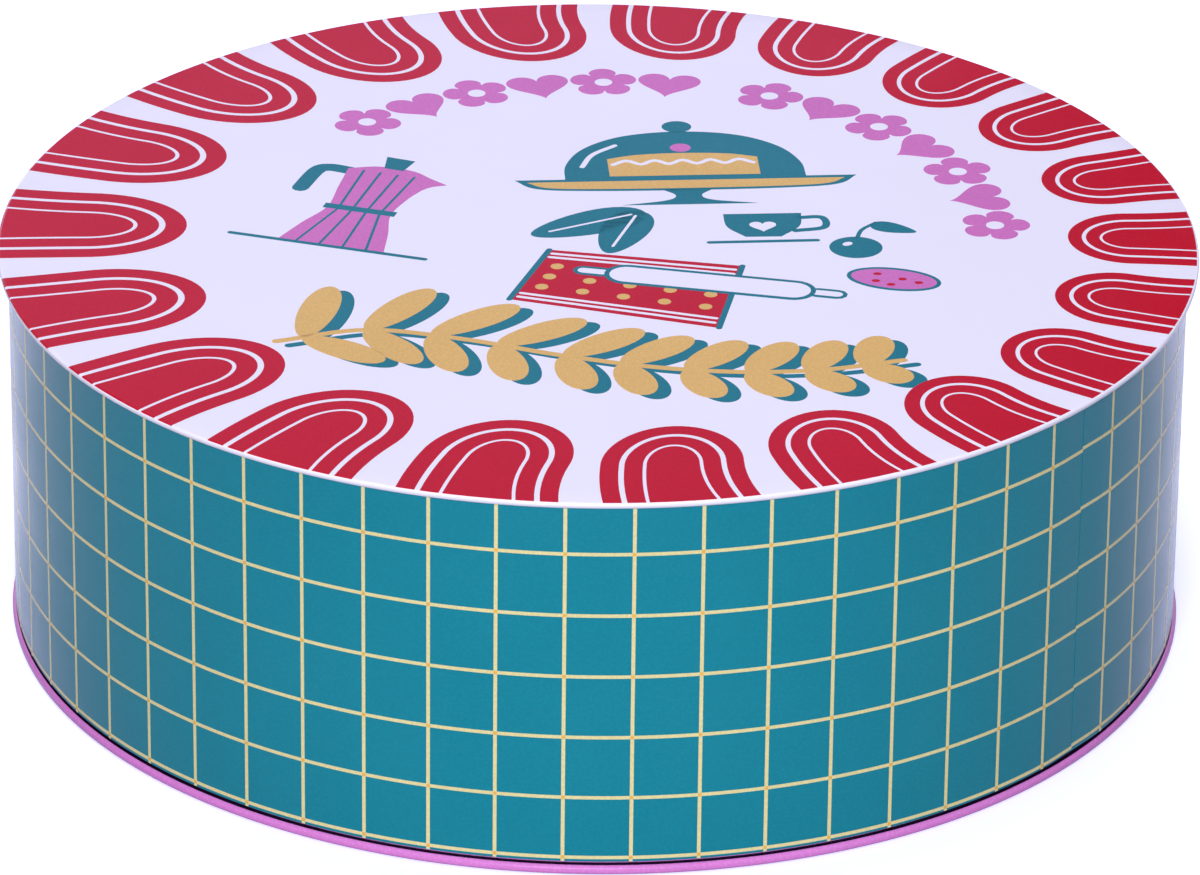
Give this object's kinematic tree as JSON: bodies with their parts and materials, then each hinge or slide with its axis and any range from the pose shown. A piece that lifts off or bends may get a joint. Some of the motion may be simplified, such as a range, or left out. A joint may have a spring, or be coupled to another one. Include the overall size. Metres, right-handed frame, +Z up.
{
  "type": "round cookie tin with a full-depth lid",
  "caption": "Round printed cookie tin: deep lift-off lid with a rolled edge over a seamed inner body that stands on its bottom seam.",
  "frame": {"origin": "centre of the base, on the surface that the tin stands on", "axes": "+Z up through the centre of the lid, -Y towards the front of the lid's picture, +X to its right"},
  "size_m": [0.2342, 0.2342, 0.0783],
  "materials": {
    "lid_white": "gloss white print on tinplate",
    "skirt_teal": "gloss teal print on tinplate",
    "body_pink": "gloss pink lacquer on tinplate",
    "red_print": "gloss red print on tinplate",
    "pink_print": "gloss pink print on tinplate",
    "gold_print": "gloss gold-yellow print on tinplate",
    "bare_tinplate": "bare tinplate, inside"
  },
  "bodies": {
    "body": {"body_wall": "body_pink", "bottom_panel": "body_pink"},
    "lid": {"lid_panel": "lid_white", "lid_skirt": "skirt_teal"}
  },
  "joints": [
    {"name": "lid_lift", "type": "slide", "parent": "body", "child": "lid", "axis": [0, 0, 1], "range_m": [0, 0.09]}
  ]
}
